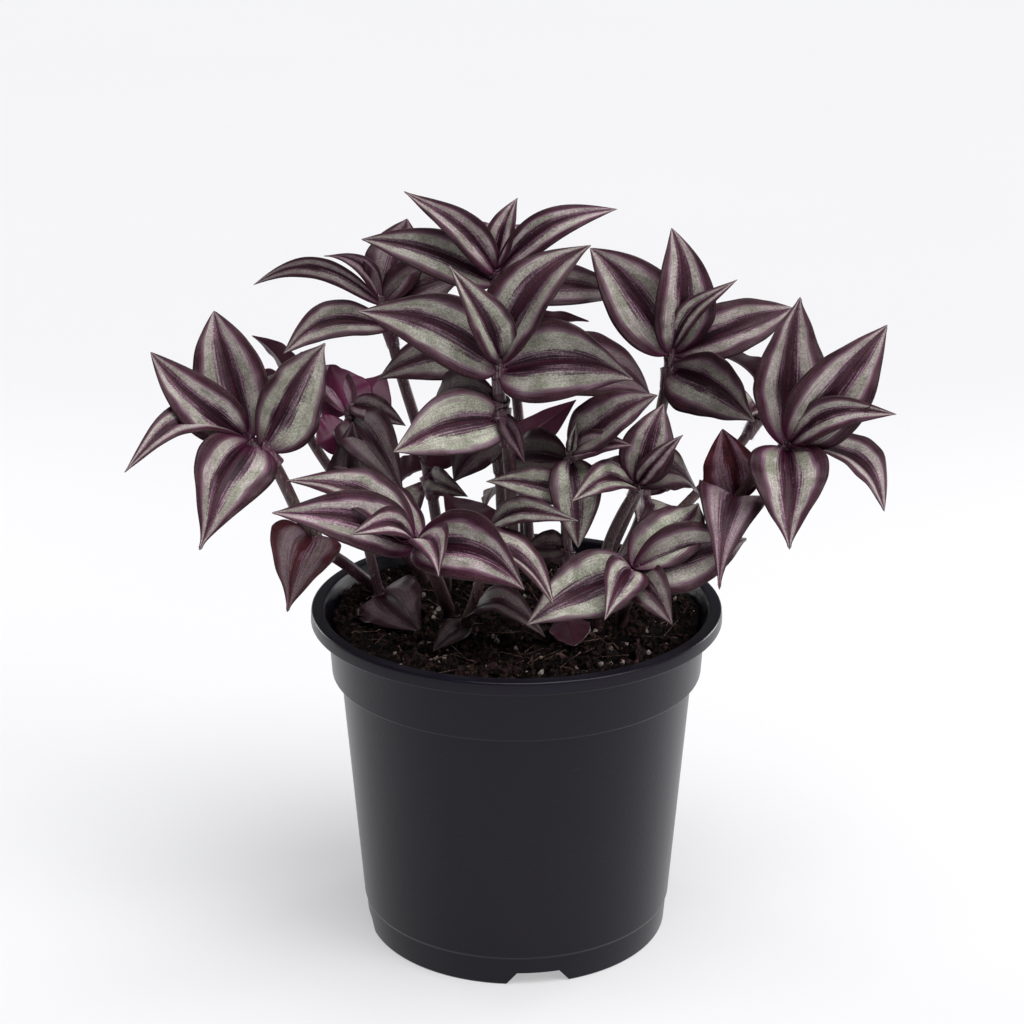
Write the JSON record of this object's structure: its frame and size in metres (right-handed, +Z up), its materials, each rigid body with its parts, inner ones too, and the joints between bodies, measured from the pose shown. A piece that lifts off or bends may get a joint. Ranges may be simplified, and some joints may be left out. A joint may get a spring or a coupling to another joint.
{
  "type": "potted tradescantia",
  "caption": "Potted tradescantia with spreading leafy stems and striped pointed leaves in a round black plastic nursery pot filled with soil.",
  "frame": {"origin": "centre of the pot's foot on the surface that it stands on, at the middle of the plant's footprint", "axes": "+Z up along the pot's axis, the front of the plant faces -Y, the plant's left in a front view is -X"},
  "size_m": [0.1787, 0.1126, 0.1884],
  "materials": {
    "pot_plastic": "satin near-black plastic",
    "soil": "rough dark potting soil with pale grains",
    "foliage": "slightly shiny leaves, purple with silver-green bands above and plum below"
  },
  "bodies": {
    "root": {"pot": "pot_plastic", "soil": "soil", "shoot_crown": "foliage", "shoot_centre": "foliage", "shoot_right_top": "foliage", "shoot_far_right": "foliage", "shoot_far_left": "foliage", "shoot_left_top": "foliage", "shoot_left_mid": "foliage", "shoot_front_left": "foliage", "shoot_middle_low": "foliage", "shoot_right_mid": "foliage", "shoot_right_low": "foliage", "shoot_front_right": "foliage", "shoot_back_crown": "foliage", "shoot_back_left": "foliage", "shoot_back_right": "foliage", "shoot_back_low": "foliage", "shoot_back_left_low": "foliage", "shoot_back_right_low": "foliage"}
  },
  "joints": []
}
